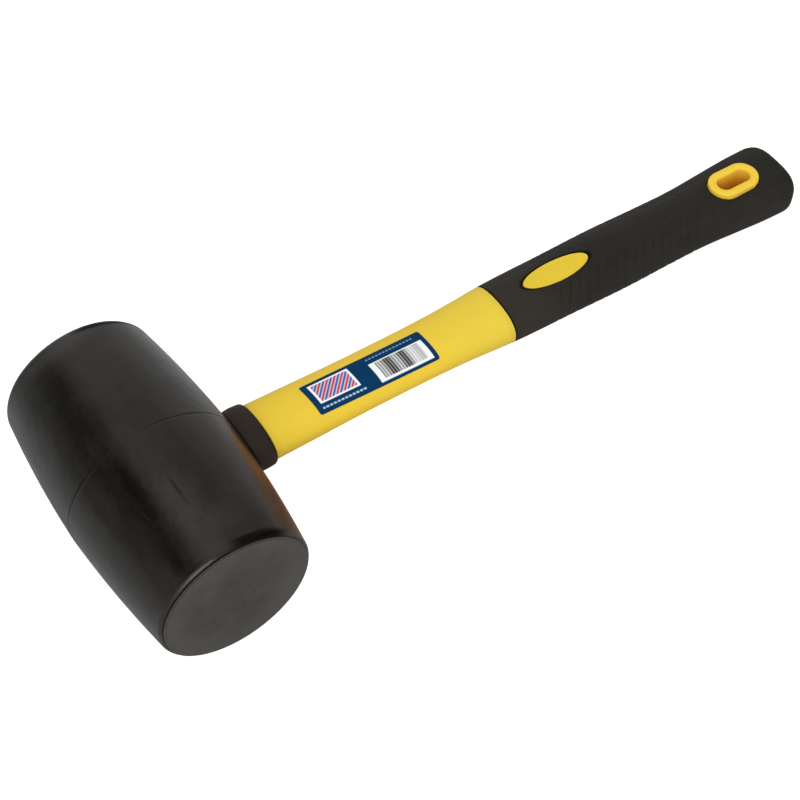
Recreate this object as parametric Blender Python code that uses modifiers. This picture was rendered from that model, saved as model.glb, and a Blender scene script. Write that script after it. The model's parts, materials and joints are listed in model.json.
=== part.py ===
"""Rubber mallet: barrel head, fibreglass-cored plastic shaft, soft collar and soft grip.

Metres, +Z up. Every piece is first placed in the tool's own frame: origin at the centre of the
head, +X along the shaft towards the grip, Y along the head. The whole tool hangs from one empty,
which lays it down on the ground so that the barrel and the hang-hole lip both touch z = 0.
"""

import math

import bmesh
import bpy
from mathutils import Matrix, Vector

# ---------------------------------------------------------------- driving dimensions
HEAD_LENGTH = 0.116  # face to face
HEAD_RADIUS = 0.0358  # at the parting line, half way along
FACE_RADIUS = 0.0310  # where the sides would meet the faces
SIDE_CROWN = 0.0009  # how far each tapering side bulges beyond a straight cone
FACE_EDGE_RADIUS = 0.0033
FLASH_HEIGHT = 0.0003
FLASH_HALF_WIDTH = 0.0005

SOCKET_BOTTOM = -0.0220  # where the tenon ends, beyond the head's centre
ADHESIVE_THICKNESS = 0.0009
ADHESIVE_MOUTH = 0.0330
CLEARANCE = 0.0003  # between any two pieces that meet
STEP_RUN = 0.0001  # length over which the jacket's section steps up or down
CORE_CHAMFER = 0.0030
SHORT_OVERRUN = 0.0100  # how far a cutter runs past the piece it cuts
THROUGH = 0.0300  # half height of a cutter that goes right through the handle

COLLAR_START = 0.0280
COLLAR_END = 0.0450
COLLAR_FLARE = 0.0016  # how much wider it is at the head than the shaft
COLLAR_TAPER = 0.0090  # length over which it comes down to the shaft
COLLAR_INSET = 0.0018  # how far the jacket is stepped down under the collar

GRIP_START = 0.1552
TOOL_END = 0.3026
GRIP_WALL = 0.0020
GRIP_END_WALL = 0.0050

ROD_RADIUS = 0.0038
ROD_END = 0.2380
ROD_CHAMFER = 0.0006

WINDOW_CENTRE = 0.1845
WINDOW_LENGTH = 0.0320
WINDOW_WIDTH = 0.0106
WINDOW_HALF_HEIGHT = 0.0092
WINDOW_EDGE = 0.0003

EYELET_CENTRE = 0.2774
EYELET_LENGTH = 0.0234
EYELET_WIDTH = 0.0144
EYELET_HALF_HEIGHT = 0.0112
EYELET_EDGE = 0.0010
HANG_HOLE_LENGTH = 0.0164
HANG_HOLE_WIDTH = 0.0072

RIB_COUNT = 8
RIB_FIRST = 0.2080
RIB_PITCH = 0.0060
RIB_CUTTER_RADIUS = 0.0016
RIB_DEPTH = 0.0006

LABEL_START = 0.0677
LABEL_LENGTH = 0.0530
LABEL_WIDTH = 0.0138
LABEL_OFFSET = -0.0019  # its middle sits nearer one striking face's side
LABEL_THICKNESS = 0.0003

RING_POINTS = 40
TURN_STEPS = 56

# The outline of the shaft and grip: distance along the tool, half width, half thickness.
SHAFT_STATIONS = (
    (0.0450, 0.0133, 0.0072),
    (0.0650, 0.0129, 0.0071),
    (0.0850, 0.0125, 0.0070),
    (0.1100, 0.0125, 0.0070),
    (0.1300, 0.0129, 0.0073),
    (0.1420, 0.0135, 0.0078),
    (0.1552, 0.0143, 0.0086),
)
GRIP_STATIONS = (
    (0.1552, 0.0143, 0.0086),
    (0.1660, 0.0146, 0.0089),
    (0.1850, 0.0148, 0.0091),
    (0.2120, 0.0153, 0.0092),
    (0.2350, 0.0149, 0.0090),
    (0.2560, 0.0148, 0.0089),
    (0.2680, 0.0152, 0.0092),
    (0.2800, 0.0157, 0.0095),
    (0.2900, 0.0160, 0.0097),
)
SHAFT_SQUARENESS = 2.2  # superellipse exponent of the cross-sections
END_SQUARENESS = 3.0  # the sections grow squarer between these two places
SQUARING_START = 0.2500
SQUARING_END = 0.2850
END_CORNER_RADIUS = 0.0067  # the grip's end, seen from above
END_EDGE_RADIUS = 0.0031  # the grip's end, seen from the side
END_ROUNDING_STEPS = 7

# ---------------------------------------------------------------- scene and materials


def clear_scene():
    for obj in list(bpy.data.objects):
        bpy.data.objects.remove(obj, do_unlink=True)


def new_collection(name):
    collection = bpy.data.collections.new(name)
    bpy.context.scene.collection.children.link(collection)
    return collection


def new_material(name, colour, roughness, metallic=0.0):
    material = bpy.data.materials.new(name)
    material.use_nodes = True
    shader = material.node_tree.nodes["Principled BSDF"]
    shader.inputs["Base Color"].default_value = (*colour, 1.0)
    shader.inputs["Roughness"].default_value = roughness
    shader.inputs["Metallic"].default_value = metallic
    material.diffuse_color = (*colour, 1.0)
    return material


# ---------------------------------------------------------------- shape helpers


def section_ring(x, half_width, half_thickness):
    """The flattened oval cross-section at x, as (y, z) points."""
    share = (x - SQUARING_START) / (SQUARING_END - SQUARING_START)
    share = min(max(share, 0.0), 1.0)
    power = 2.0 / (SHAFT_SQUARENESS + (END_SQUARENESS - SHAFT_SQUARENESS) * share)
    ring = []
    for step in range(RING_POINTS):
        angle = 2.0 * math.pi * step / RING_POINTS
        c, s = math.cos(angle), math.sin(angle)
        y = half_width * math.copysign(abs(c) ** power, c)
        z = half_thickness * math.copysign(abs(s) ** power, s)
        ring.append((y, z))
    return ring


def loft(name, stations, collection):
    """A closed bar along X through flattened ovals of changing width and thickness."""
    mesh = bpy.data.meshes.new(name)
    bm = bmesh.new()
    rings = []
    for x, half_width, half_thickness in stations:
        ring = section_ring(x, half_width, half_thickness)
        rings.append([bm.verts.new((x, y, z)) for y, z in ring])
    for near, far in zip(rings, rings[1:]):
        for step in range(RING_POINTS):
            following = (step + 1) % RING_POINTS
            bm.faces.new((near[step], near[following], far[following], far[step]))
    bm.faces.new(rings[0])
    bm.faces.new(rings[-1])
    bmesh.ops.recalc_face_normals(bm, faces=bm.faces)
    bm.to_mesh(mesh)
    bm.free()
    obj = bpy.data.objects.new(name, mesh)
    collection.objects.link(obj)
    return obj


def grown(stations, amount):
    """The same stations with every section offset outwards by amount."""
    return [(x, width + amount, thickness + amount) for x, width, thickness in stations]


def round_off(to_tip, radius):
    """How far a quarter-round of this radius has drawn a side in, at to_tip short of its tip."""
    run = max(radius - to_tip, 0.0)
    return radius - math.sqrt(radius * radius - run * run)


def rounded_end(stations, tip):
    """Stations that close a bar at x = tip, with rounded corners and a rounded edge."""
    _, width, thickness = stations[-1]
    closed = [station for station in stations if station[0] < tip - END_CORNER_RADIUS]
    for step in range(END_ROUNDING_STEPS + 1):
        angle = 0.5 * math.pi * step / END_ROUNDING_STEPS
        to_tip = END_CORNER_RADIUS * (1.0 - math.sin(angle))
        narrower = round_off(to_tip, END_CORNER_RADIUS)
        thinner = round_off(to_tip, END_EDGE_RADIUS)
        closed.append((tip - to_tip, width - narrower, thickness - thinner))
    return closed


def turned(name, profile, collection):
    """A solid turned about Z from an (r, z) profile that runs down its outer side."""
    mesh = bpy.data.meshes.new(name)
    points = [(radius, 0.0, height) for radius, height in profile]
    edges = [(index, index + 1) for index in range(len(points) - 1)]
    mesh.from_pydata(points, edges, [])
    obj = bpy.data.objects.new(name, mesh)
    collection.objects.link(obj)
    screw = obj.modifiers.new("turn", "SCREW")
    screw.axis = "Z"
    screw.angle = 2.0 * math.pi
    screw.steps = TURN_STEPS
    screw.render_steps = TURN_STEPS
    screw.use_merge_vertices = True
    screw.merge_threshold = 0.00001
    screw.use_normal_calculate = True
    return obj


def oval_prism(name, centre_x, length, width, half_height, collection, elliptical):
    """An upright prism, symmetric about z = 0, with an elliptical or straight-sided oval outline."""
    bm = bmesh.new()
    outline = []
    radius = width / 2.0
    reach = length / 2.0 - radius
    for step in range(RING_POINTS):
        angle = 2.0 * math.pi * (step + 0.5) / RING_POINTS
        c, s = math.cos(angle), math.sin(angle)
        if elliptical:
            point = (c * length / 2.0, s * radius)
        else:
            point = (c * radius + math.copysign(reach, c), s * radius)
        outline.append(bm.verts.new((centre_x + point[0], point[1], -half_height)))
    face = bm.faces.new(outline)
    extruded = bmesh.ops.extrude_face_region(bm, geom=[face])
    top = [item for item in extruded["geom"] if isinstance(item, bmesh.types.BMVert)]
    bmesh.ops.translate(bm, verts=top, vec=Vector((0.0, 0.0, 2.0 * half_height)))
    bmesh.ops.recalc_face_normals(bm, faces=bm.faces)
    mesh = bpy.data.meshes.new(name)
    bm.to_mesh(mesh)
    bm.free()
    obj = bpy.data.objects.new(name, mesh)
    collection.objects.link(obj)
    return obj


def cylinder(name, radius, depth, location, collection, along_x=False):
    bpy.ops.mesh.primitive_cylinder_add(vertices=32, radius=radius, depth=depth)
    obj = bpy.context.active_object
    obj.name = name
    if along_x:
        obj.data.transform(Matrix.Rotation(math.pi / 2.0, 4, "Y"))
    obj.location = location
    move_to(obj, collection)
    return obj


def box(name, size, location, collection):
    bpy.ops.mesh.primitive_cube_add(size=1.0)
    obj = bpy.context.active_object
    obj.name = name
    obj.data.transform(Matrix.Diagonal((*size, 1.0)))
    obj.location = location
    move_to(obj, collection)
    return obj


def move_to(obj, collection):
    for owner in list(obj.users_collection):
        owner.objects.unlink(obj)
    collection.objects.link(obj)


def boolean(obj, other, operation):
    modifier = obj.modifiers.new(f"{operation.lower()} {other.name}", "BOOLEAN")
    modifier.operation = operation
    modifier.object = other
    modifier.solver = "EXACT"


def bevel(obj, width, segments):
    modifier = obj.modifiers.new("rounded edges", "BEVEL")
    modifier.width = width
    modifier.segments = segments
    modifier.limit_method = "ANGLE"
    modifier.angle_limit = math.radians(50.0)


def mark_cutter(obj):
    obj.hide_render = True
    obj.display_type = "WIRE"


def shade_smooth(obj, sharp_degrees=35.0):
    obj.data.shade_smooth()
    obj.data.set_sharp_from_angle(angle=math.radians(sharp_degrees))


# ---------------------------------------------------------------- the head


def barrel_profile(extra=0.0):
    """Half of the barrel from the centre of its top face to its parting line, as (r, z)."""
    half = HEAD_LENGTH / 2.0
    edge_start = half - FACE_EDGE_RADIUS
    side_steps = 7

    def side_radius(distance):
        along = distance / half
        taper = HEAD_RADIUS + (FACE_RADIUS - HEAD_RADIUS) * along
        return taper + SIDE_CROWN * 4.0 * along * (1.0 - along)

    corner = side_radius(edge_start) - FACE_EDGE_RADIUS
    profile = [(0.0, half + extra)]
    for step in range(5):
        angle = 0.5 * math.pi * (1.0 - step / 4.0)
        radius = corner + (FACE_EDGE_RADIUS + extra) * math.cos(angle)
        height = edge_start + (FACE_EDGE_RADIUS + extra) * math.sin(angle)
        profile.append((radius, height))
    for step in range(1, side_steps):
        distance = edge_start * (1.0 - step / side_steps)
        profile.append((side_radius(distance) + extra, distance))
    profile.append((side_radius(FLASH_HALF_WIDTH) + extra, FLASH_HALF_WIDTH))
    profile.append((HEAD_RADIUS + FLASH_HEIGHT + extra, 0.0))
    return profile


def turned_barrel(name, extra, collection):
    upper = barrel_profile(extra)
    lower = [(radius, -height) for radius, height in reversed(upper[:-1])]
    barrel = turned(name, upper + lower, collection)
    barrel.rotation_euler = (math.pi / 2.0, 0.0, 0.0)
    return barrel


def make_head(parts, cutters):
    barrel = turned_barrel("head_barrel", 0.0, parts)
    wall = ADHESIVE_THICKNESS + 2.0 * CLEARANCE
    mouth = HEAD_RADIUS + SHORT_OVERRUN
    socket = loft("socket_cutter", grown(tenon_stations(-wall, mouth), wall), cutters)
    boolean(barrel, socket, "DIFFERENCE")
    barrel.data.materials.append(new_material("black head rubber", (0.022, 0.021, 0.020), 0.38))
    return barrel


# ---------------------------------------------------------------- the shaft


def tenon_stations(start_shift, end):
    """The stepped-down bar that enters the head, from the socket's bottom to x = end."""
    _, width, thickness = SHAFT_STATIONS[0]
    section = (width - COLLAR_INSET, thickness - COLLAR_INSET)
    return [(SOCKET_BOTTOM + start_shift, *section), (end, *section)]


def make_adhesive(parts, cutters):
    outer_offset = ADHESIVE_THICKNESS + CLEARANCE
    outer = grown(tenon_stations(-outer_offset, ADHESIVE_MOUTH), outer_offset)
    inner = grown(tenon_stations(-CLEARANCE, ADHESIVE_MOUTH + SHORT_OVERRUN), CLEARANCE)
    cup = loft("socket_adhesive", outer, parts)
    boolean(cup, loft("adhesive_bore_cutter", inner, cutters), "DIFFERENCE")
    cup.data.materials.append(new_material("cured adhesive", (0.62, 0.55, 0.38), 0.35))
    return cup


def make_rod(parts):
    length = ROD_END - SOCKET_BOTTOM
    middle = (SOCKET_BOTTOM + length / 2.0, 0.0, 0.0)
    rod = cylinder("core_rod", ROD_RADIUS, length, middle, parts, along_x=True)
    bevel(rod, ROD_CHAMFER, 1)
    rod.data.materials.append(new_material("glass fibre rod", (0.66, 0.60, 0.42), 0.5))
    return rod


def grip_core(start):
    """The stepped-down bar inside the grip, from x = start to a chamfered end short of the tip."""
    tip = TOOL_END - GRIP_END_WALL
    chamfer_start = tip - CORE_CHAMFER
    thin = grown(GRIP_STATIONS, -GRIP_WALL)
    core = [(start, *thin[0][1:])]
    core += [station for station in thin[1:] if station[0] < chamfer_start]
    _, width, thickness = core[-1]
    core.append((chamfer_start, width, thickness))
    core.append((tip, width - CORE_CHAMFER, thickness - CORE_CHAMFER))
    return core


def make_jacket(parts, cutters):
    stations = tenon_stations(0.0, COLLAR_END - STEP_RUN)
    stations += SHAFT_STATIONS
    stations += grip_core(GRIP_START + STEP_RUN)
    jacket = loft("shaft_jacket", stations, parts)
    window = oval_prism(
        "window_boss", WINDOW_CENTRE, WINDOW_LENGTH, WINDOW_WIDTH, WINDOW_HALF_HEIGHT, cutters, True
    )
    eyelet = oval_prism(
        "eyelet_boss", EYELET_CENTRE, EYELET_LENGTH, EYELET_WIDTH, EYELET_HALF_HEIGHT, cutters, False
    )
    bevel(window, WINDOW_EDGE, 1)
    bevel(eyelet, EYELET_EDGE, 2)
    hole = oval_prism(
        "hang_hole_cutter", EYELET_CENTRE, HANG_HOLE_LENGTH, HANG_HOLE_WIDTH, THROUGH, cutters, False
    )
    bore_end = ROD_END + CLEARANCE
    bore_length = bore_end - SOCKET_BOTTOM + SHORT_OVERRUN
    bore = cylinder(
        "rod_bore_cutter",
        ROD_RADIUS + CLEARANCE,
        bore_length,
        (bore_end - bore_length / 2.0, 0.0, 0.0),
        cutters,
        along_x=True,
    )
    boolean(jacket, window, "UNION")
    boolean(jacket, eyelet, "UNION")
    boolean(jacket, hole, "DIFFERENCE")
    boolean(jacket, bore, "DIFFERENCE")
    jacket.data.materials.append(new_material("yellow shaft plastic", (0.79, 0.57, 0.045), 0.42))
    return jacket


# ---------------------------------------------------------------- the soft pieces


def make_collar(parts, cutters):
    _, width, thickness = SHAFT_STATIONS[0]
    end = COLLAR_END - CLEARANCE
    stations = [
        (COLLAR_START, width + COLLAR_FLARE, thickness + COLLAR_FLARE),
        (end - 0.6 * COLLAR_TAPER, width + 0.8 * COLLAR_FLARE, thickness + 0.8 * COLLAR_FLARE),
        (end - 0.1 * COLLAR_TAPER, width + 0.2 * COLLAR_FLARE, thickness + 0.2 * COLLAR_FLARE),
        (end, width, thickness),
    ]
    collar = loft("neck_collar", stations, parts)
    bore = grown(tenon_stations(0.0, COLLAR_END + SHORT_OVERRUN), CLEARANCE)
    boolean(collar, loft("collar_bore_cutter", bore, cutters), "DIFFERENCE")
    boolean(collar, turned_barrel("collar_saddle_cutter", CLEARANCE, cutters), "DIFFERENCE")
    collar.data.materials.append(new_material("black collar rubber", (0.026, 0.021, 0.019), 0.6))
    return collar


def side_ribs(cutters):
    """Upright round bars down both sides of the grip, which press a row of finger grooves."""
    bars = bmesh.new()
    half_width = max(width for x, width, _ in GRIP_STATIONS if x < RIB_FIRST + RIB_PITCH)
    for side in (-1.0, 1.0):
        for index in range(RIB_COUNT):
            x = RIB_FIRST + index * RIB_PITCH
            y = side * (half_width - RIB_DEPTH + RIB_CUTTER_RADIUS)
            bmesh.ops.create_cone(
                bars,
                cap_ends=True,
                segments=12,
                radius1=RIB_CUTTER_RADIUS,
                radius2=RIB_CUTTER_RADIUS,
                depth=2.0 * THROUGH,
                matrix=Matrix.Translation((x, y, 0.0)),
            )
    mesh = bpy.data.meshes.new("rib_cutter")
    bars.to_mesh(mesh)
    bars.free()
    obj = bpy.data.objects.new("rib_cutter", mesh)
    cutters.objects.link(obj)
    return obj


def make_grip(parts, cutters):
    outer = rounded_end(list(GRIP_STATIONS), TOOL_END)
    outer[0] = (GRIP_START + CLEARANCE, *outer[0][1:])
    grip = loft("grip_sleeve", outer, parts)
    core = grown(grip_core(GRIP_START - SHORT_OVERRUN), CLEARANCE)
    tip, *tip_section = core[-1]
    core[-1] = (tip + CLEARANCE, *tip_section)
    gap = 2.0 * CLEARANCE
    window = oval_prism(
        "window_cutter", WINDOW_CENTRE, WINDOW_LENGTH + gap, WINDOW_WIDTH + gap, THROUGH, cutters, True
    )
    eyelet = oval_prism(
        "eyelet_cutter", EYELET_CENTRE, EYELET_LENGTH + gap, EYELET_WIDTH + gap, THROUGH, cutters, False
    )
    boolean(grip, loft("grip_bore_cutter", core, cutters), "DIFFERENCE")
    boolean(grip, window, "DIFFERENCE")
    boolean(grip, eyelet, "DIFFERENCE")
    boolean(grip, side_ribs(cutters), "DIFFERENCE")
    grip.data.materials.append(new_material("black grip rubber", (0.028, 0.026, 0.023), 0.7))
    return grip


def make_label(parts, cutters):
    """A film that follows the shaft: the skin between two offset lofts, inside the label's outline."""
    film = loft("shaft_label", grown(SHAFT_STATIONS, CLEARANCE + LABEL_THICKNESS), parts)
    first_x, *first_section = SHAFT_STATIONS[0]
    last_x, *last_section = SHAFT_STATIONS[-1]
    longer = [(first_x - SHORT_OVERRUN, *first_section), *SHAFT_STATIONS]
    longer.append((last_x + SHORT_OVERRUN, *last_section))
    boolean(film, loft("label_inner_cutter", grown(longer, CLEARANCE), cutters), "DIFFERENCE")
    middle = (LABEL_START + LABEL_LENGTH / 2.0, LABEL_OFFSET, THROUGH / 2.0)
    outline = box("label_outline", (LABEL_LENGTH, LABEL_WIDTH, THROUGH), middle, cutters)
    boolean(film, outline, "INTERSECT")
    film.data.materials.append(new_material("navy label film", (0.004, 0.04, 0.11), 0.3))
    return film


# ---------------------------------------------------------------- laying the tool down


def resting_pose():
    """Turn and shift that lay the tool on z = 0, touching at the barrel and at the eyelet's lip."""
    radius = HEAD_RADIUS + FLASH_HEIGHT
    lip_x = EYELET_CENTRE + EYELET_LENGTH / 2.0 - EYELET_EDGE
    lip_z = EYELET_HALF_HEIGHT
    tilt = math.asin(radius / math.hypot(lip_x, lip_z)) - math.atan2(lip_z, lip_x)
    edge_x = TOOL_END - END_EDGE_RADIUS
    edge_z = GRIP_STATIONS[-1][2] - END_EDGE_RADIUS
    far_x = edge_x * math.cos(tilt) + edge_z * math.sin(tilt) + END_EDGE_RADIUS
    shift = Vector((-(far_x - radius) / 2.0, 0.0, radius))
    return tilt, shift


def main():
    clear_scene()
    parts = new_collection("rubber_mallet")
    cutters = new_collection("cutters")
    pieces = [
        make_head(parts, cutters),
        make_adhesive(parts, cutters),
        make_rod(parts),
        make_jacket(parts, cutters),
        make_collar(parts, cutters),
        make_grip(parts, cutters),
        make_label(parts, cutters),
    ]
    tilt, shift = resting_pose()
    pose = bpy.data.objects.new("tool_pose", None)
    parts.objects.link(pose)
    pose.location = shift
    pose.rotation_euler = (0.0, tilt, 0.0)
    for obj in pieces + list(cutters.objects):
        obj.parent = pose
    for obj in pieces:
        shade_smooth(obj)
    for obj in cutters.objects:
        mark_cutter(obj)


main()
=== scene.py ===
"""Rubber mallet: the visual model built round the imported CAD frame, with its materials and stage.

Every piece is modelled in the tool's own frame: origin at the centre of the head, +X along the
shaft towards the grip, Y along the head. tool_frame() reads from the CAD where that frame lies,
settle() moves a finished piece there, and the materials work back to the tool's frame.
"""

import json
import math

import bmesh
import bpy
from mathutils import Matrix, Vector


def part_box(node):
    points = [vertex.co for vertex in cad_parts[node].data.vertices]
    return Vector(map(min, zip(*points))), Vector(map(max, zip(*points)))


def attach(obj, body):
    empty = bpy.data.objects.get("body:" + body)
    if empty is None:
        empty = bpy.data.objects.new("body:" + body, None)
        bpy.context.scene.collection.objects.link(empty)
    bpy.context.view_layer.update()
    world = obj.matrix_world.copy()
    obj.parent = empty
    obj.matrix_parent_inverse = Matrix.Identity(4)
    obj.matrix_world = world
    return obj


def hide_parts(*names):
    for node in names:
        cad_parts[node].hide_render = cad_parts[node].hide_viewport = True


# ---------------------------------------------------------------- shape, in metres
# Places along the tool are distances from the head's centre.
FACE_RADIUS = 0.0310  # where the barrel's sides would meet its faces
SIDE_CROWN = 0.0009
RIM_RADIUS = 0.0024
RIM_ARC_START = 56.0  # degrees up from the barrel's side: where the rounded rim meets the face
CREASE_PEAK = -25.0  # degrees from the top round to +X: where the creases are deepest
INNER_CREASE = 0.0288  # radius of the two fine creases between the face and its rounded rim
OUTER_CREASE = 0.0301
INNER_CREASE_DEPTH = 0.00035
OUTER_CREASE_DEPTH = 0.00070
FLASH_HEIGHT = 0.0003  # how far the CAD's parting line stands proud of the barrel
SEAM_HALF_WIDTH = 0.0003
SEAM_DEPTH = 0.00009
BARREL_STEPS = 256
SIDE_STEPS = 40

SOCKET_BOTTOM = -0.0220
SOCKET_WALL = 0.0015
TENON_INSET = 0.0018
CLEARANCE = 0.0003
OVERRUN = 0.0100  # how far a cutter reaches past what it cuts
THROUGH = 0.0200  # half the height of a cutter that goes right through the handle
BORE_FIT = 0.0002
SADDLE_FIT = 0.00008
ROD_FIT = 0.0001
CORE_FIT = 0.0001
COLLAR_START = 0.0260
COLLAR_END = 0.0450
GRIP_START = 0.1552
TOOL_END = 0.3026
GRIP_WALL = 0.0020
GRIP_END_WALL = 0.0050
CORE_CHAMFER = 0.0030  # at the closed end of the bar inside the grip
ROD_RADIUS = 0.0038
ROD_END = 0.2380

WINDOW_CENTRE = 0.1845
WINDOW_LENGTH = 0.0320
WINDOW_WIDTH = 0.0106
WINDOW_RIM = 0.0002
WINDOW_GAP = 0.0005  # how much wider the grip's opening is than what shows through it
EYELET_CENTRE = 0.2774
EYELET_LENGTH = 0.0232
EYELET_WIDTH = 0.0143
EYELET_HALF_HEIGHT = 0.0112
HANG_HOLE_LENGTH = 0.0159
HANG_HOLE_WIDTH = 0.0067
EYELET_GAP = 0.0009
EYELET_ROOM = 0.0030
LIP_INNER_RADIUS = 0.0012
LIP_OUTER_RADIUS = 0.0009
LIP_CROWN = 0.00008

PANEL_RISE = 0.00030  # the smooth panels along the grip's top and underside
PANEL_HALF_WIDTH = 0.0092
PANEL_WAVE = 0.0014  # their edges wave in and out by this much
PANEL_WAVE_START = 0.1880
PANEL_WAVE_LENGTH = 0.0850
PANEL_NEAR_EDGE = 0.0020  # half the run of the slope at their -Y and +Y edges
PANEL_FAR_EDGE = 0.0004
PANEL_FADE = 0.2620
PANEL_FADE_RUN = 0.0120
RIB_FIRST = 0.1805
RIB_LAST = 0.2510
RIB_PITCH = 0.0047
RIB_SLANT = 0.70  # how far a rib runs along the tool for each metre across it
RIB_INNER_EDGE = 0.0042
RIB_MIDDLE = 0.0095
RIB_DEPTH = 0.00013

LABEL_START = 0.0672
LABEL_LENGTH = 0.0542
LABEL_WIDTH = 0.0147
LABEL_OFFSET = -0.0022
LABEL_SLANT = -0.016  # the label sits a little crooked: sideways drift of its long edges
LABEL_LEAN = 0.07  # and how far its ends lean back across its width
LABEL_CORNER = 0.0008
LABEL_TOP = 0.00026  # heights of the film's two sides above the shaft
LABEL_UNDERSIDE = 0.00008
STRIPE_PITCH = 0.0034

# Distance along the tool, half width, half thickness.
OUTLINE = (
    (0.0450, 0.0133, 0.0072),
    (0.0650, 0.0129, 0.0071),
    (0.0850, 0.0125, 0.0070),
    (0.1100, 0.0125, 0.0070),
    (0.1300, 0.0129, 0.0073),
    (0.1420, 0.0135, 0.0078),
    (0.1552, 0.0143, 0.0086),
    (0.1660, 0.0146, 0.0089),
    (0.1850, 0.0148, 0.0091),
    (0.2120, 0.0153, 0.0092),
    (0.2350, 0.0149, 0.0090),
    (0.2560, 0.0148, 0.0089),
    (0.2680, 0.0152, 0.0092),
    (0.2800, 0.0157, 0.0095),
    (0.2900, 0.0160, 0.0097),
    (0.3100, 0.0162, 0.0098),
)
SHAFT_SQUARENESS = 2.2
END_SQUARENESS = 3.0
SQUARING_START = 0.2500
SQUARING_END = 0.2850
END_CORNER_RADIUS = 0.0067
END_EDGE_RADIUS = 0.0031
RING_POINTS = 144
STEP_ALONG = 0.0007
SHAFT_POINTS = 96
SHAFT_STEP = 0.0010
CORE_STEP = 0.0030

# ---------------------------------------------------------------- camera and light
CAMERA_AZIMUTH = 37.61  # degrees, from the head's axis, in the tool's frame
CAMERA_ELEVATION = 51.99
CAMERA_ROLL = 4.26
CAMERA_AIM = (0.0990, -0.0155, 0.0)
CAMERA_DISTANCE = 0.7695
CAMERA_LENS = 90.2
SENSOR_WIDTH = 36.0

# Name, diameter, power and place of each lamp.
KEY_LIGHT = ("key", 1.6, 17.0, (-0.95, -1.25, 1.05))
OVERHEAD_LIGHT = ("overhead", 1.1, 5.5, (0.50, 0.25, 1.5))

SURROUND_GLOW = 0.42  # what glossy surfaces reflect, before the patches below
# Azimuth and elevation in degrees, outer and inner reach in degrees, amount.
BRIGHT_PATCHES = (
    (12.0, 26.0, 28.0, 8.0, 0.30),
    (36.0, 18.0, 16.0, 5.0, 0.16),
    (56.0, -2.0, 26.0, 6.0, 0.28),
    (-50.0, 72.0, 22.0, 8.0, 0.18),
    (0.0, 90.0, 31.0, 8.0, 0.44),
)
DARK_PATCHES = (
    (-49.0, 39.0, 27.0, 13.0, 0.95),
    (-66.0, 14.0, 30.0, 8.0, 0.42),
    (105.0, 0.0, 45.0, 15.0, 0.80),
)
DIFFUSE_FILL = 0.68  # the least brightness that the surround lends to matt surfaces

FLOOR_SIZE = 14.0
FLOOR_DROP = 0.0002  # below the tool's lowest point
FLOOR_GLOW = 0.80
FLOOR_SHADE_FROM = (-0.35, 0.47)  # painted shade, darker towards -X: place along world X and how pale the floor is there
FLOOR_SHADE_TO = (0.0, 0.60)
WARM_SPOT = (0.095, 0.0, 0.0)  # in the tool's frame: the middle of the floor's painted warm light
WARM_REACH = (0.115, 0.085, 1.0)
WARM_COLOUR = (0.62, 0.21, 0.01)

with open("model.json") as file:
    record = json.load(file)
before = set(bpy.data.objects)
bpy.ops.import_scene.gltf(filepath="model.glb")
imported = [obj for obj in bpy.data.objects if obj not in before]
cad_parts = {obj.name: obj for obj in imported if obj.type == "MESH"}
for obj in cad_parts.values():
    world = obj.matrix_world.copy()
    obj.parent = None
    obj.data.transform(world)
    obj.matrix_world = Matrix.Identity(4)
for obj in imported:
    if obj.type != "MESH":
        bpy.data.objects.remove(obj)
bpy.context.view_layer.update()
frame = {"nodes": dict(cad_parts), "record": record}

# ---------------------------------------------------------------- where the tool lies


def striking_faces():
    """The middles of the two striking faces, from the record's mounts."""
    return [Vector(mount["pos_m"]) for mount in frame["record"]["mounts"]]


def tool_frame():
    """The tool's own frame in the world: head centre from the faces, slope from the core rod."""
    near, far = striking_faces()
    low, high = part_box("core_rod")
    run, width, rise = high - low
    tilt = 0.0
    # the tilted rod's box is its length and its width together, so the tilt is found in steps
    for _ in range(20):
        tilt = math.atan2(rise - width * math.cos(tilt), run - width * math.sin(tilt))
    return Matrix.Translation((near + far) / 2.0) @ Matrix.Rotation(tilt, 4, "Y")


def head_half_length():
    near, far = striking_faces()
    return (near - far).length / 2.0


def head_radius():
    low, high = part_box("head_barrel")
    return (high.z - low.z) / 2.0 - FLASH_HEIGHT


TOOL = tool_frame()
HALF_LENGTH = head_half_length()
HEAD_RADIUS = head_radius()

# ---------------------------------------------------------------- mesh helpers


def smoothstep(low, high, value):
    share = min(max((value - low) / (high - low), 0.0), 1.0)
    return share * share * (3.0 - 2.0 * share)


def outline_at(x):
    """Half width and half thickness at x, on a smooth curve through OUTLINE."""
    last = len(OUTLINE) - 2
    index = max(i for i in range(last + 1) if i == 0 or OUTLINE[i][0] <= x)
    here, there = OUTLINE[index], OUTLINE[index + 1]
    before, after = OUTLINE[max(index - 1, 0)], OUTLINE[min(index + 2, last + 1)]
    run = there[0] - here[0]
    t = (x - here[0]) / run
    found = []
    for item in (1, 2):
        slope_in = (there[item] - before[item]) / (there[0] - before[0]) * run
        slope_out = (after[item] - here[item]) / (after[0] - here[0]) * run
        found.append(
            (2 * t**3 - 3 * t**2 + 1) * here[item]
            + (t**3 - 2 * t**2 + t) * slope_in
            + (3 * t**2 - 2 * t**3) * there[item]
            + (t**3 - t**2) * slope_out
        )
    return found


def squareness(x):
    share = min(max((x - SQUARING_START) / (SQUARING_END - SQUARING_START), 0.0), 1.0)
    return SHAFT_SQUARENESS + (END_SQUARENESS - SHAFT_SQUARENESS) * share


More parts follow.
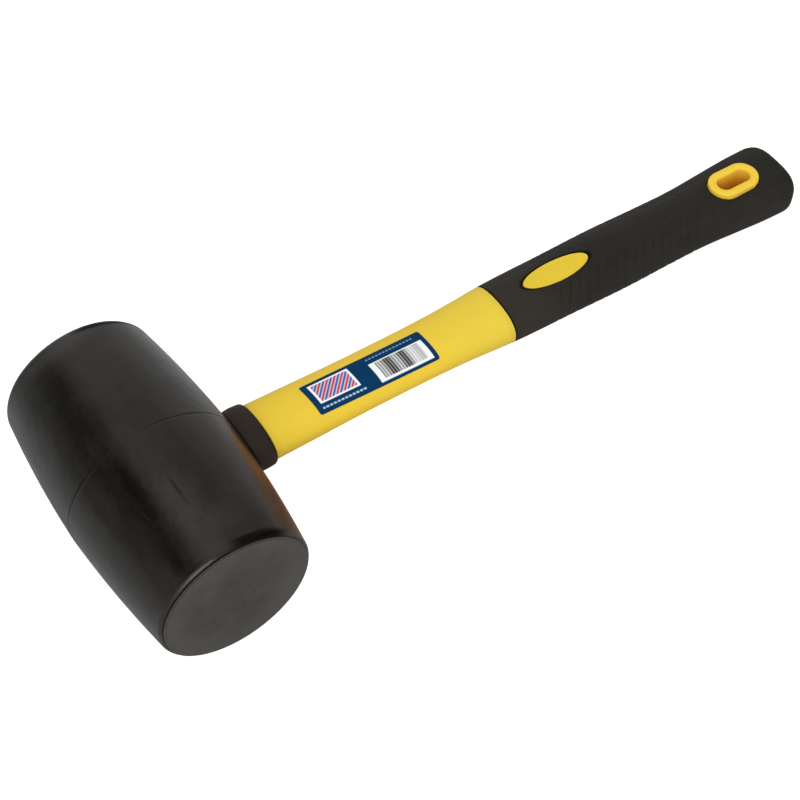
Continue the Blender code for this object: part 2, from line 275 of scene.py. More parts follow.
def ring(x, width, thickness, relief=None, points=RING_POINTS):
    """A flattened oval cross-section; relief(x, y) says how far to lift the surface there."""
    power = 2.0 / squareness(x)
    made = []
    for step in range(points):
        angle = 2.0 * math.pi * step / points
        c, s = math.cos(angle), math.sin(angle)
        y_share = math.copysign(abs(c) ** power, c)
        z_share = math.copysign(abs(s) ** power, s)
        lift = relief(x, width * y_share) if relief else 0.0
        made.append(Vector((x, (width + lift) * y_share, (thickness + lift) * z_share)))
    return made


def surface_height(x, y):
    """Height of the handle's outer surface above its middle plane."""
    width, thickness = outline_at(x)
    n = squareness(x)
    return thickness * max(1.0 - abs(y / width) ** n, 0.0) ** (1.0 / n)


def finish_mesh(name, bm):
    bmesh.ops.recalc_face_normals(bm, faces=bm.faces)
    mesh = bpy.data.meshes.new(name)
    bm.to_mesh(mesh)
    bm.free()
    obj = bpy.data.objects.new(name, mesh)
    bpy.context.scene.collection.objects.link(obj)
    return obj


def loft(name, rings, close_loop=False):
    """Skins a row of closed rings with equal numbers of points, as a capped bar or a closed loop."""
    bm = bmesh.new()
    rows = [[bm.verts.new(point) for point in points] for points in rings]
    pairs = list(zip(rows, rows[1:]))
    if close_loop:
        pairs.append((rows[-1], rows[0]))
    count = len(rows[0])
    for near, far in pairs:
        for step in range(count):
            after = (step + 1) % count
            bm.faces.new((near[step], near[after], far[after], far[step]))
    if not close_loop:
        bm.faces.new(rows[0])
        bm.faces.new(rows[-1])
    return finish_mesh(name, bm)


def through_cut(name, ring_at):
    """A straight plug right through the handle; ring_at(z) gives its outline at a height."""
    return loft(name, [ring_at(z) for z in (-THROUGH, THROUGH)])


def carve(obj, tool, operation):
    """Joins or cuts obj with tool for good, and removes tool."""
    modifier = obj.modifiers.new(operation, "BOOLEAN")
    modifier.operation = operation
    modifier.object = tool
    modifier.solver = "EXACT"
    bpy.context.view_layer.update()
    graph = bpy.context.evaluated_depsgraph_get()
    mesh = bpy.data.meshes.new_from_object(obj.evaluated_get(graph))
    obj.modifiers.clear()
    old = obj.data
    obj.data = mesh
    bpy.data.meshes.remove(old)
    tool_mesh = tool.data
    bpy.data.objects.remove(tool, do_unlink=True)
    bpy.data.meshes.remove(tool_mesh)
    return obj


def settle(obj, material, nodes, sharp_degrees=32.0):
    """Shades a finished piece, gives it its material, lays it in the world and hangs it on the CAD."""
    obj.data.name = obj.name
    obj.data.transform(TOOL)
    obj.data.shade_smooth()
    obj.data.set_sharp_from_angle(angle=math.radians(sharp_degrees))
    obj.data.materials.clear()
    obj.data.materials.append(material)
    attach(obj, "root")
    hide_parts(*nodes)
    return obj


# ---------------------------------------------------------------- the head


def side_radius(distance):
    along = distance / HALF_LENGTH
    taper = HEAD_RADIUS + (FACE_RADIUS - HEAD_RADIUS) * along
    return taper + SIDE_CROWN * 4.0 * along * (1.0 - along)


def barrel_profile():
    """Half of the barrel, face to parting line, as (radius, distance, depth of crease there)."""
    edge = HALF_LENGTH - RIM_RADIUS
    corner = side_radius(edge) - RIM_RADIUS
    profile = [(radius, HALF_LENGTH, 0.0) for radius in (0.004, 0.012, 0.020, 0.0255)]
    for crease, depth in (
        (INNER_CREASE, INNER_CREASE_DEPTH),
        (OUTER_CREASE, OUTER_CREASE_DEPTH),
    ):
        # distance from the crease's middle, share of its depth
        for away, share in ((-0.0006, 0.0), (-0.0003, 0.12), (0.0, 1.0), (0.0003, 0.12)):
            profile.append((crease + away, HALF_LENGTH, depth * share))
    # the outer crease's far side is the start of the rounded rim
    profile[-1] = (OUTER_CREASE + 0.0002, HALF_LENGTH - 0.0002, 0.0001)
    for step in range(9):
        angle = math.radians(RIM_ARC_START) * (1.0 - step / 8.0)
        radius = corner + RIM_RADIUS * math.cos(angle)
        profile.append((radius, edge + RIM_RADIUS * math.sin(angle), 0.0))
    foot = SEAM_HALF_WIDTH * 3.0
    for step in range(1, SIDE_STEPS):
        distance = edge + (foot - edge) * step / SIDE_STEPS
        profile.append((side_radius(distance), distance, 0.0))
    profile += [
        (HEAD_RADIUS, foot, 0.0),
        (HEAD_RADIUS - 0.00001, SEAM_HALF_WIDTH, 0.0),
        (HEAD_RADIUS - SEAM_DEPTH, SEAM_HALF_WIDTH * 0.3, 0.0),
    ]
    return profile


def crease_share(angle):
    """How deep the creases are at an angle round the head: they fade away from CREASE_PEAK."""
    return 0.06 + 0.94 * (0.5 + 0.5 * math.cos(angle - math.radians(CREASE_PEAK))) ** 2


def turned_barrel(name, extra):
    """The barrel's solid, grown all round by extra."""
    half = barrel_profile()
    whole = half + [(radius, -distance, -sink) for radius, distance, sink in reversed(half)]
    rings = []
    for radius, distance, sink in whole:
        if extra:
            radius += extra
            distance += math.copysign(extra, distance)
        points = []
        for step in range(BARREL_STEPS):
            angle = 2.0 * math.pi * step / BARREL_STEPS
            y = distance - sink * crease_share(angle)
            points.append(Vector((radius * math.sin(angle), y, radius * math.cos(angle))))
        rings.append(points)
    return loft(name, rings)


def tenon_ring(x, extra, points=64):
    """The outline of the tenon that goes into the head, grown by extra."""
    width, thickness = outline_at(COLLAR_END)
    shrink = TENON_INSET - extra
    return ring(x, width - shrink, thickness - shrink, points=points)


def make_barrel():
    barrel = turned_barrel("barrel_head", 0.0)
    reach = SOCKET_BOTTOM - SOCKET_WALL, HEAD_RADIUS + OVERRUN
    socket = loft("socket", [tenon_ring(x, SOCKET_WALL) for x in reach])
    carve(barrel, socket, "DIFFERENCE")
    return settle(barrel, head_rubber(), ["head_barrel"])


def make_collar():
    """The soft collar: it swells a little along its length and is cut to the barrel."""
    width, thickness = outline_at(COLLAR_END)
    # distance along the tool, how far the collar stands proud of the shaft
    shape = (
        (COLLAR_START, 0.0007),
        (0.0355, 0.0009),
        (0.0375, 0.0013),
        (0.0395, 0.0015),
        (0.0420, 0.0014),
        (0.0438, 0.00125),
        (0.0446, 0.0008),
        (0.0449, 0.0001),
        (COLLAR_END, -0.0005),
    )
    rings = [ring(x, width + more, thickness + more) for x, more in shape]
    collar = loft("collar_neck", rings)
    reach = COLLAR_START - OVERRUN, COLLAR_END + OVERRUN
    carve(collar, loft("bore", [tenon_ring(x, BORE_FIT) for x in reach]), "DIFFERENCE")
    carve(collar, turned_barrel("saddle", SADDLE_FIT), "DIFFERENCE")
    return settle(collar, collar_rubber(), ["neck_collar"])


# ---------------------------------------------------------------- the yellow shaft


def stadium_ring(centre, length, width, z):
    """A straight-sided oval ring at height z."""
    radius = width / 2.0
    reach = length / 2.0 - radius
    made = []
    for step in range(SHAFT_POINTS):
        angle = 2.0 * math.pi * (step + 0.5) / SHAFT_POINTS
        c, s = math.cos(angle), math.sin(angle)
        made.append(Vector((centre + math.copysign(reach, c) + radius * c, radius * s, z)))
    return made


def oval_ring(centre, length, width, heights):
    """An elliptical ring whose height at each point is heights(x, y)."""
    made = []
    for step in range(SHAFT_POINTS):
        angle = 2.0 * math.pi * (step + 0.5) / SHAFT_POINTS
        x = centre + math.cos(angle) * length / 2.0
        y = math.sin(angle) * width / 2.0
        made.append(Vector((x, y, heights(x, y))))
    return made


def window_insert():
    """The inlay that fills both windows of the grip, with a low rounded rim on each."""
    # share of the full size, height above the grip's surface
    steps = (
        (0.10, 0.0),
        (0.35, 0.0),
        (0.60, 0.0),
        (0.78, 0.00002),
        (0.86, 0.00010),
        (0.91, WINDOW_RIM),
        (0.95, WINDOW_RIM * 0.95),
        (0.98, WINDOW_RIM * 0.4),
        (1.00, -0.00035),
    )

    def oval(share, level, side):
        """One ring of the inlay's top, where side is 1, or of its underside, where it is -1."""
        length, width = WINDOW_LENGTH * share, WINDOW_WIDTH * share
        return oval_ring(
            WINDOW_CENTRE, length, width, lambda x, y: side * (surface_height(x, y) + level)
        )

    rings = [oval(share, level, 1.0) for share, level in steps]
    rings += [oval(share, level, -1.0) for share, level in reversed(steps)]
    return loft("window_insert", rings)


def eyelet():
    """The raised lip round the hang hole: a rounded band swept round a straight-sided oval."""
    wall = (EYELET_WIDTH - HANG_HOLE_WIDTH) / 2.0
    top = EYELET_HALF_HEIGHT
    half = [(0.0, 0.0), (0.0, top * 0.5)]
    for step in range(7):
        angle = 0.5 * math.pi * step / 6.0
        offset = LIP_INNER_RADIUS * (1.0 - math.cos(angle))
        half.append((offset, top - LIP_INNER_RADIUS * (1.0 - math.sin(angle))))
    half.append((wall * 0.5, top + LIP_CROWN))
    for step in range(6):
        angle = 0.5 * math.pi * (1.0 - step / 5.0)
        offset = wall - LIP_OUTER_RADIUS * (1.0 - math.cos(angle))
        half.append((offset, top - LIP_OUTER_RADIUS * (1.0 - math.sin(angle))))
    half.append((wall, top * 0.5))
    profile = half + [(offset, -z) for offset, z in reversed(half[1:])]
    profile.insert(len(half), (wall, 0.0))
    rings = []
    for offset, z in profile:
        length = HANG_HOLE_LENGTH + 2.0 * offset
        width = HANG_HOLE_WIDTH + 2.0 * offset
        rings.append(stadium_ring(EYELET_CENTRE, length, width, z))
    return loft("eyelet", rings, close_loop=True)


def core_rings(start, extra):
    """The stepped-down bar inside the grip, closed short of the grip's end and grown by extra."""
    tip = TOOL_END - GRIP_END_WALL
    inset = GRIP_WALL - extra
    rings = []

    def add(x, at, inset):
        width, thickness = outline_at(at)
        rings.append(ring(x, width - inset, thickness - inset, points=SHAFT_POINTS))

    x = start
    while x < tip - CORE_CHAMFER:
        add(x, x, inset)
        x += CORE_STEP
    shoulder = tip - CORE_CHAMFER
    add(shoulder, shoulder, inset)
    add(tip + extra, shoulder, inset + CORE_CHAMFER)
    return rings


def rod_bore():
    """The straight round hole for the glass-fibre rod."""
    radius = ROD_RADIUS + ROD_FIT
    turns = [2.0 * math.pi * step / 48 for step in range(48)]
    return loft(
        "rod_bore",
        [
            [Vector((x, radius * math.cos(turn), radius * math.sin(turn))) for turn in turns]
            for x in (SOCKET_BOTTOM - OVERRUN, ROD_END + CLEARANCE)
        ],
    )


def make_shaft():
    """The yellow moulding: tenon, bare shaft, core, eyelet and windows, drilled for its rod."""
    width, thickness = outline_at(COLLAR_END)
    rings = [tenon_ring(x, 0.0, SHAFT_POINTS) for x in (SOCKET_BOTTOM, COLLAR_END - 0.0001)]
    rings.append(ring(COLLAR_END, width - 0.0003, thickness - 0.0003, points=SHAFT_POINTS))
    rings.append(ring(COLLAR_END + 0.0002, width, thickness, points=SHAFT_POINTS))
    x = COLLAR_END + SHAFT_STEP
    while x < GRIP_START - 0.5 * SHAFT_STEP:
        rings.append(ring(x, *outline_at(x), points=SHAFT_POINTS))
        x += SHAFT_STEP
    rings.append(ring(GRIP_START, *outline_at(GRIP_START), points=SHAFT_POINTS))
    rings += core_rings(GRIP_START + 0.0001, 0.0)
    shaft = loft("shaft", rings)
    # the eyelet's ring fills the edge of this wider hole
    opening = HANG_HOLE_LENGTH + EYELET_ROOM, HANG_HOLE_WIDTH + EYELET_ROOM
    hole = through_cut("hole", lambda z: stadium_ring(EYELET_CENTRE, *opening, z))
    carve(shaft, hole, "DIFFERENCE")
    carve(shaft, eyelet(), "UNION")
    carve(shaft, window_insert(), "UNION")
    carve(shaft, rod_bore(), "DIFFERENCE")
    return settle(shaft, yellow_plastic(), ["shaft_jacket"])


# ---------------------------------------------------------------- the grip


def panel_half_width(x):
    """Half width of the smooth panel along the grip's top and underside."""
    turn = 2.0 * math.pi * (x - PANEL_WAVE_START) / PANEL_WAVE_LENGTH
    return PANEL_HALF_WIDTH + PANEL_WAVE * math.sin(turn)


def grip_relief(x, y):
    """How far the grip stands above its plain outline: raised panels, sunk grooves beside them."""
    edge = panel_half_width(x)
    away = abs(y)
    soft = PANEL_FAR_EDGE if y > 0.0 else PANEL_NEAR_EDGE
    lift = PANEL_RISE * (1.0 - smoothstep(edge - soft, edge + soft, away))
    lift *= 1.0 - smoothstep(PANEL_FADE, PANEL_FADE + PANEL_FADE_RUN, x)
    along = x + RIB_SLANT * (away - RIB_MIDDLE)
    if RIB_FIRST - RIB_PITCH < along < RIB_LAST + RIB_PITCH:
        run_in = smoothstep(RIB_FIRST - 0.5 * RIB_PITCH, RIB_FIRST, along)
        run_out = 1.0 - smoothstep(RIB_LAST, RIB_LAST + 0.5 * RIB_PITCH, along)
        phase = math.cos(2.0 * math.pi * (along - RIB_FIRST) / RIB_PITCH)
        groove = max(phase, 0.0) ** 3
        side = smoothstep(RIB_INNER_EDGE, RIB_INNER_EDGE + 0.001, away)
        lift -= RIB_DEPTH * groove * run_in * run_out * side
    return lift


def round_off(to_tip, radius):
    """How far an edge with a rounded corner draws in, at a distance from the tip."""
    run = max(radius - to_tip, 0.0)
    return radius - math.sqrt(radius * radius - run * run)


def make_grip():
    """The soft sleeve: a rounded mouth, relief along its length, a rounded closed end."""
    start = GRIP_START + 0.0002
    rings = []
    for x, more in ((start, -0.0005), (start + 0.0002, -0.00012), (start + 0.0005, 0.0)):
        width, thickness = outline_at(x)
        rings.append(ring(x, width + more, thickness + more))
    x = start + 0.0005 + STEP_ALONG
    while x < TOOL_END - END_CORNER_RADIUS:
        rings.append(ring(x, *outline_at(x), relief=grip_relief))
        x += STEP_ALONG
    steps = 22
    for step in range(steps + 1):
        to_tip = END_CORNER_RADIUS * (1.0 - math.sin(0.5 * math.pi * step / steps))
        x = TOOL_END - to_tip
        width, thickness = outline_at(x)
        width -= round_off(to_tip, END_CORNER_RADIUS)
        thickness -= round_off(to_tip, END_EDGE_RADIUS)
        rings.append(ring(x, width, thickness))
    grip = loft("grip_soft", rings)
    carve(grip, loft("core", core_rings(GRIP_START - OVERRUN, CORE_FIT)), "DIFFERENCE")
    opening = WINDOW_LENGTH + WINDOW_GAP, WINDOW_WIDTH + WINDOW_GAP
    window = through_cut(
        "window_cut", lambda z: oval_ring(WINDOW_CENTRE, *opening, lambda x, y: z)
    )
    carve(grip, window, "DIFFERENCE")
    wide = EYELET_LENGTH + EYELET_GAP, EYELET_WIDTH + EYELET_GAP
    hole = through_cut("eyelet_cut", lambda z: stadium_ring(EYELET_CENTRE, *wide, z))
    carve(grip, hole, "DIFFERENCE")
    return settle(grip, grip_rubber(), ["grip_sleeve"])


# ---------------------------------------------------------------- the label


def make_label():
    """A thin film that follows the shaft's surface, with rounded corners."""
    corner = [LABEL_CORNER * share for share in (0.0, 0.15, 0.35, 0.6, 0.8, 1.0)]
    count, rows = 60, 28
    inner = LABEL_LENGTH - 2.0 * LABEL_CORNER
    columns = corner + [LABEL_CORNER + inner * k / count for k in range(1, count)]
    columns += [LABEL_LENGTH - along for along in reversed(corner)]
    rings = []
    for along in columns:
        to_end = min(along, LABEL_LENGTH - along)
        half = LABEL_WIDTH / 2.0 - round_off(to_end, LABEL_CORNER)
        x = LABEL_START + along
        middle = LABEL_OFFSET + LABEL_SLANT * (along - LABEL_LENGTH / 2.0)
        line = []
        for sign, lift in ((1.0, LABEL_TOP), (-1.0, LABEL_UNDERSIDE)):
            for k in range(rows + 1):
                y = middle + sign * half * (2.0 * k / rows - 1.0)
                leaning = x - LABEL_LEAN * (y - LABEL_OFFSET + LABEL_WIDTH / 2.0)
                line.append(Vector((leaning, y, surface_height(leaning, y) + lift)))
        rings.append(line)
    label = loft("label_film", rings)
    return settle(label, label_print(), ["shaft_label"], 40.0)


# ---------------------------------------------------------------- node helpers


class Graph:
    """Short calls for the few nodes that the materials and the surround use."""

    def __init__(self, owner):
        owner.use_nodes = True
        self.nodes = owner.node_tree.nodes
        self.links = owner.node_tree.links

    def node(self, kind, **settings):
        made = self.nodes.new(kind)
        for key, value in settings.items():
            setattr(made, key, value)
        return made

    def feed(self, socket, value):
        if isinstance(value, bpy.types.NodeSocket):
            self.links.new(value, socket)
        elif isinstance(value, tuple) and len(value) == 3 and socket.type == "RGBA":
            socket.default_value = (*value, 1.0)
        else:
            socket.default_value = value

    def math(self, operation, *values, clamp=False):
        made = self.node("ShaderNodeMath", operation=operation, use_clamp=clamp)
        for socket, value in zip(made.inputs, values):
            self.feed(socket, value)
        return made.outputs[0]

    def plus(self, first, second, clamp=False):
        return self.math("ADD", first, second, clamp=clamp)

    def minus(self, first, second, clamp=False):
        return self.math("SUBTRACT", first, second, clamp=clamp)

    def times(self, first, *others):
        for other in others:
            first = self.math("MULTIPLY", first, other)
        return first

    def over(self, first, second):
        return self.math("DIVIDE", first, second)

    def most(self, first, *others):
        for other in others:
            first = self.math("MAXIMUM", first, other)
        return first

    def distance(self, value, centre=None):
        """How far value is from centre, or from 0, as a positive number."""
        away = value if centre is None else self.minus(value, centre)
        return self.math("ABSOLUTE", away)

    def hypotenuse(self, first, second):
        squares = [self.math("POWER", side, 2.0) for side in (first, second)]
        return self.math("SQRT", self.plus(*squares))

    def between(self, share, first, second):
        """first at share 0, second at share 1."""
        return self.plus(self.times(share, second - first), first)

    def ramp(self, value, start, end, style="LINEAR"):
        """From one (place, amount) to another, and level beyond them."""
        made = self.node("ShaderNodeMapRange", interpolation_type=style)
        row = (value, start[0], end[0], start[1], end[1])
        for socket, item in zip(made.inputs, row):
            self.feed(socket, item)
        return made.outputs[0]

    def step(self, value, low, high):
        """0 below low, 1 above high, smooth between. low may be the larger, which turns it round."""
        return self.ramp(value, (low, 0.0), (high, 1.0), "SMOOTHSTEP")

    def mix(self, share, first, second):
        made = self.node("ShaderNodeMix", data_type="RGBA")
        self.feed(made.inputs["Factor"], share)
        self.feed(made.inputs[6], first)
        self.feed(made.inputs[7], second)
        return made.outputs[2]


class Finish(Graph):
    """A piece's material: a Principled shader fed from places in the tool's own frame."""

    def __init__(self, name):
        self.material = bpy.data.materials.new(name)
        super().__init__(self.material)
        self.shader = self.nodes["Principled BSDF"]
        # a mesh's points are in the world's frame
        self.place = self.inside(
            self.node("ShaderNodeTexCoord").outputs["Object"],
            Location=TOOL.translation,
            Rotation=TOOL.to_euler(),
        )
        parts = self.node("ShaderNodeSeparateXYZ")
        self.links.new(self.place, parts.inputs[0])
        self.x, self.y, self.z = parts.outputs

    def inside(self, place, **frame_of):
        """A place as seen from a frame with this location, rotation and scale."""
        made = self.node("ShaderNodeMapping", vector_type="TEXTURE")
        self.feed(made.inputs["Vector"], place)
        for key, value in frame_of.items():
            made.inputs[key].default_value = value
        return made.outputs[0]

    def scaled(self, factors):
        made = self.node("ShaderNodeVectorMath", operation="MULTIPLY")
        self.feed(made.inputs[0], self.place)
        made.inputs[1].default_value = factors
        return made.outputs[0]

    def noise(self, scale, detail=3.0, roughness=0.55, stretch=None):
        made = self.node("ShaderNodeTexNoise")
        self.feed(made.inputs["Vector"], self.scaled(stretch) if stretch else self.place)
        made.inputs["Scale"].default_value = scale
        made.inputs["Detail"].default_value = detail
        made.inputs["Roughness"].default_value = roughness
        return made.outputs["Fac"]

    def cover(self, under, mask, amount, colour):
        """Lays colour over what is under it, at that strength where mask is 1."""
        return self.mix(self.times(mask, amount), under, colour)

    def mark(self, centre, size, ragged=0.0):
        """1 in the middle of an oval mark, 0 outside it; ragged wanders its edge."""
        away = self.node("ShaderNodeVectorMath", operation="LENGTH")
        self.feed(away.inputs[0], self.inside(self.place, Location=centre, Scale=size))
        wander = self.times(self.minus(self.noise(260.0, 3.0), 0.5), ragged)
        return self.step(self.plus(away.outputs["Value"], wander), 1.0, 0.35)

    def bump(self, height, depth, normal=None):
        """A bump whose height of 1 stands depth metres proud."""
        made = self.node("ShaderNodeBump")
        made.inputs["Strength"].default_value = 1.0
        made.inputs["Distance"].default_value = depth
        self.feed(made.inputs["Height"], height)
        if normal is not None:
            self.feed(made.inputs["Normal"], normal)
        return made.outputs["Normal"]

    def done(self, colour, roughness, normal, **others):
        self.feed(self.shader.inputs["Base Color"], colour)
        self.feed(self.shader.inputs["Roughness"], roughness)
        self.feed(self.shader.inputs["Normal"], normal)
        for key, value in others.items():
            self.feed(self.shader.inputs[key.replace("_", " ")], value)
        return self.material


# ---------------------------------------------------------------- materials


def head_rubber():
    """Semi-gloss moulded rubber: smudges along the barrel, dull scuffed faces, thin scratches."""
    g = Finish("head_rubber")
    across = g.distance(g.y)
    radius = g.hypotenuse(g.x, g.z)

    def round_share(degrees):
        """1 where the head points that many degrees from its top towards +X, 0 opposite."""
        turn = math.radians(degrees)
        along = g.plus(g.times(g.z, math.cos(turn)), g.times(g.x, math.sin(turn)))
        return g.plus(g.times(g.over(along, radius), 0.5), 0.5)

    def ring_mask(where, half_width):
        return g.step(g.distance(radius, where), half_width, half_width * 0.4)

    def side_mark(degrees, y, around, along, ragged=1.2):
        """An oval mark on the barrel's side, that many degrees from its top towards +X."""
        turn, out = math.radians(degrees), side_radius(abs(y))
        centre = (out * math.sin(turn), y, out * math.cos(turn))
        return g.mark(centre, (around, along, around), ragged)

    # where the moulding's lines are: the faces, the parting line, the creases, and the rim's painted
    # shade and dark reflection
    face = g.step(across, HALF_LENGTH - 0.0007, HALF_LENGTH - 0.0002)
    # painted shade in the parting line's groove: half as strong where the barrel faces up, a little
    # towards -X, and full towards its sides
    seam_shade = g.step(across, SEAM_HALF_WIDTH * 1.5, SEAM_HALF_WIDTH * 0.7)
    seam_shade = g.times(seam_shade, g.between(g.step(round_share(-15.0), 0.96, 0.84), 0.5, 1.0), 0.8)
    # painted shade in the two fine creases, strongest round CREASE_PEAK
    share = round_share(CREASE_PEAK)
    outer = g.times(ring_mask(OUTER_CREASE, 0.0005), g.math("POWER", share, 1.5))
    inner = g.times(ring_mask(INNER_CREASE, 0.0004), g.math("POWER", share, 5.0), 0.7)
    near_end = g.step(across, HALF_LENGTH - 0.0030, HALF_LENGTH - 0.0016)
    crease = g.times(g.most(outer, inner), near_end)
    # painted shade and painted dark reflection on the rim, a little round from its top towards +X
    rim = g.step(across, HALF_LENGTH - 0.0040, HALF_LENGTH - 0.0026)
    rim = g.times(g.step(radius, 0.0290, 0.0302), rim)
    rim_shade = g.times(rim, g.step(round_share(21.0), 0.945, 0.990))
    painted_shade = g.most(crease, rim_shade)
    # marks on the barrel
    dark_marks = g.most(
        side_mark(-30.0, -0.0287, 0.0050, 0.0062, 0.8),
        side_mark(-36.0, -0.0500, 0.0036, 0.0055),
        side_mark(-28.0, -0.0180, 0.0042, 0.0160),
    )
    dark_marks = g.times(dark_marks, 0.65)
    rubbed = g.most(
        side_mark(-9.0, -0.0300, 0.0095, 0.0190),
        side_mark(6.0, -0.0450, 0.0110, 0.0080),
    )
    line_mark = side_mark(-8.5, -0.0275, 0.0010, 0.0130, 0.9)
    # a lighter patch on the barrel's side beside its far face
    far_end_patch = side_mark(-20.0, 0.0570, 0.0230, 0.0120, 0.4)
    smudge = g.step(g.noise(32.0, 5.0, 0.62, (1.0, 0.45, 1.0)), 0.38, 0.66)
    streak = g.noise(260.0, 3.0, 0.6, (1.0, 0.06, 1.0))
    scratch = g.step(g.noise(520.0, 2.0, 0.5, (0.25, 0.05, 1.0)), 0.72, 0.76)
    body = g.mix(smudge, (0.0036, 0.0033, 0.0030), (0.0135, 0.0118, 0.0098))
    body = g.cover(body, streak, 0.30, (0.0140, 0.0118, 0.0095))
    body = g.cover(body, rubbed, 0.60, (0.0170, 0.0145, 0.0128))
    body = g.cover(body, far_end_patch, 0.65, (0.034, 0.032, 0.030))
    body = g.cover(body, line_mark, 0.7, (0.0090, 0.0045, 0.0015))
    body = g.mix(dark_marks, body, (0.0020, 0.0019, 0.0018))
    # painted shade along the parting line
    body = g.mix(seam_shade, body, (0.001, 0.001, 0.0005))
    # the scuffed striking faces
    speck = g.step(g.noise(900.0, 2.0, 0.5), 0.66, 0.76)
    blotch = g.step(g.noise(70.0, 5.0, 0.65), 0.30, 0.70)
    dull = g.mix(blotch, (0.0250, 0.0232, 0.0208), (0.0435, 0.0415, 0.0372))
    dull = g.cover(dull, speck, 0.5, (0.062, 0.058, 0.052))
    dull = g.cover(dull, g.step(radius, 0.008, 0.029), 0.60, (0.068, 0.065, 0.059))
    colour = g.mix(face, body, dull)
    # painted shade: the creases and the rim's dark zone are darkened
    colour = g.mix(painted_shade, colour, (0.0030, 0.0020, 0.0010))
    rough = g.plus(g.between(smudge, 0.21, 0.36), g.times(streak, 0.06))
    rough = g.plus(rough, g.times(scratch, 0.15))
    rough = g.plus(rough, g.times(face, 0.40), clamp=True)
    matt = g.most(seam_shade, painted_shade, g.times(dark_marks, 0.7), g.times(line_mark, 0.5))
    height = g.plus(g.times(g.noise(2600.0, 2.0, 0.6), 0.25), g.noise(420.0, 3.0, 0.5))
    height = g.minus(height, g.times(scratch, 0.5))
    normal = g.bump(height, 0.00004)
    normal = g.bump(g.noise(60.0, 2.0, 0.5), 0.00035, normal)
    return g.done(
        colour,
        rough,
        normal,
        IOR=1.5,
        Specular_IOR_Level=g.between(matt, 0.5, 0.12),
        Specular_Tint=(1.0, 0.97, 0.93),
    )


def collar_rubber():
    """Dull brown-black soft plastic with a fine moulded grain, darker at its front end and where it
    meets the barrel.
    """
    g = Finish("collar_rubber")
    patch = g.noise(120.0, 4.0, 0.6)
    dust = g.step(g.noise(700.0, 2.0, 0.5), 0.60, 0.80)
    front = g.step(g.x, COLLAR_END - 0.0012, COLLAR_END - 0.0004)
    foot = g.step(g.hypotenuse(g.x, g.z), HEAD_RADIUS + 0.0018, HEAD_RADIUS + 0.0004)
    edges = g.most(front, foot)
    colour = g.mix(patch, (0.0155, 0.0100, 0.0074), (0.0225, 0.0164, 0.0125))
    colour = g.cover(colour, dust, 0.35, (0.035, 0.029, 0.025))
    colour = g.cover(colour, edges, 0.85, (0.0030, 0.0016, 0.0010))
    return g.done(
        colour,
        g.between(patch, 0.50, 0.66),
        g.bump(g.noise(2200.0, 3.0, 0.6), 0.00005),
        IOR=1.40,
        Specular_IOR_Level=g.between(edges, 0.45, 0.15),
        Specular_Tint=(1.0, 0.86, 0.76),
    )


def past_panel(g):
    """How far a place on the grip lies outside the smooth panel's wavy edge."""
    turn = g.times(g.minus(g.x, PANEL_WAVE_START), 2.0 * math.pi / PANEL_WAVE_LENGTH)
    edge = g.plus(g.times(g.math("SINE", turn), PANEL_WAVE), PANEL_HALF_WIDTH)
    return g.minus(g.distance(g.y), edge)


def rib_shade(g):
    """1 in the painted shade at the foot of the slanted ribs, patchily."""
    beside = g.distance(g.y)
    along = g.plus(g.x, g.times(g.minus(beside, RIB_MIDDLE), RIB_SLANT))
    turn = g.times(g.minus(along, RIB_FIRST), 2.0 * math.pi / RIB_PITCH)
    return g.times(
        g.step(g.math("COSINE", turn), 0.55, 0.95),
        g.step(beside, RIB_INNER_EDGE, RIB_INNER_EDGE + 0.001),
        g.step(along, RIB_FIRST - 0.002, RIB_FIRST),
        g.step(along, RIB_LAST + 0.002, RIB_LAST),
        g.step(g.noise(150.0, 3.0, 0.6), 0.40, 0.60),
    )


def opening_shade(g):
    """1 in the painted shade line round the window, round the eyelet and at the grip's mouth."""

    def close(away, reach):
        return g.step(away, reach, reach * 0.3)

    long_way = g.over(g.minus(g.x, WINDOW_CENTRE), WINDOW_LENGTH / 2.0)
    wide_way = g.over(g.y, WINDOW_WIDTH / 2.0)
    window = g.times(g.minus(g.hypotenuse(long_way, wide_way), 1.0), WINDOW_WIDTH / 2.0)
    straight = (EYELET_LENGTH - EYELET_WIDTH) / 2.0
    past = g.most(g.minus(g.distance(g.x, EYELET_CENTRE), straight), 0.0)
    lip = g.minus(g.hypotenuse(past, g.y), EYELET_WIDTH / 2.0)
    mouth = g.step(g.x, GRIP_START + 0.0011, GRIP_START + 0.0004)
    return g.most(close(window, 0.0008), close(lip, 0.0011), mouth)


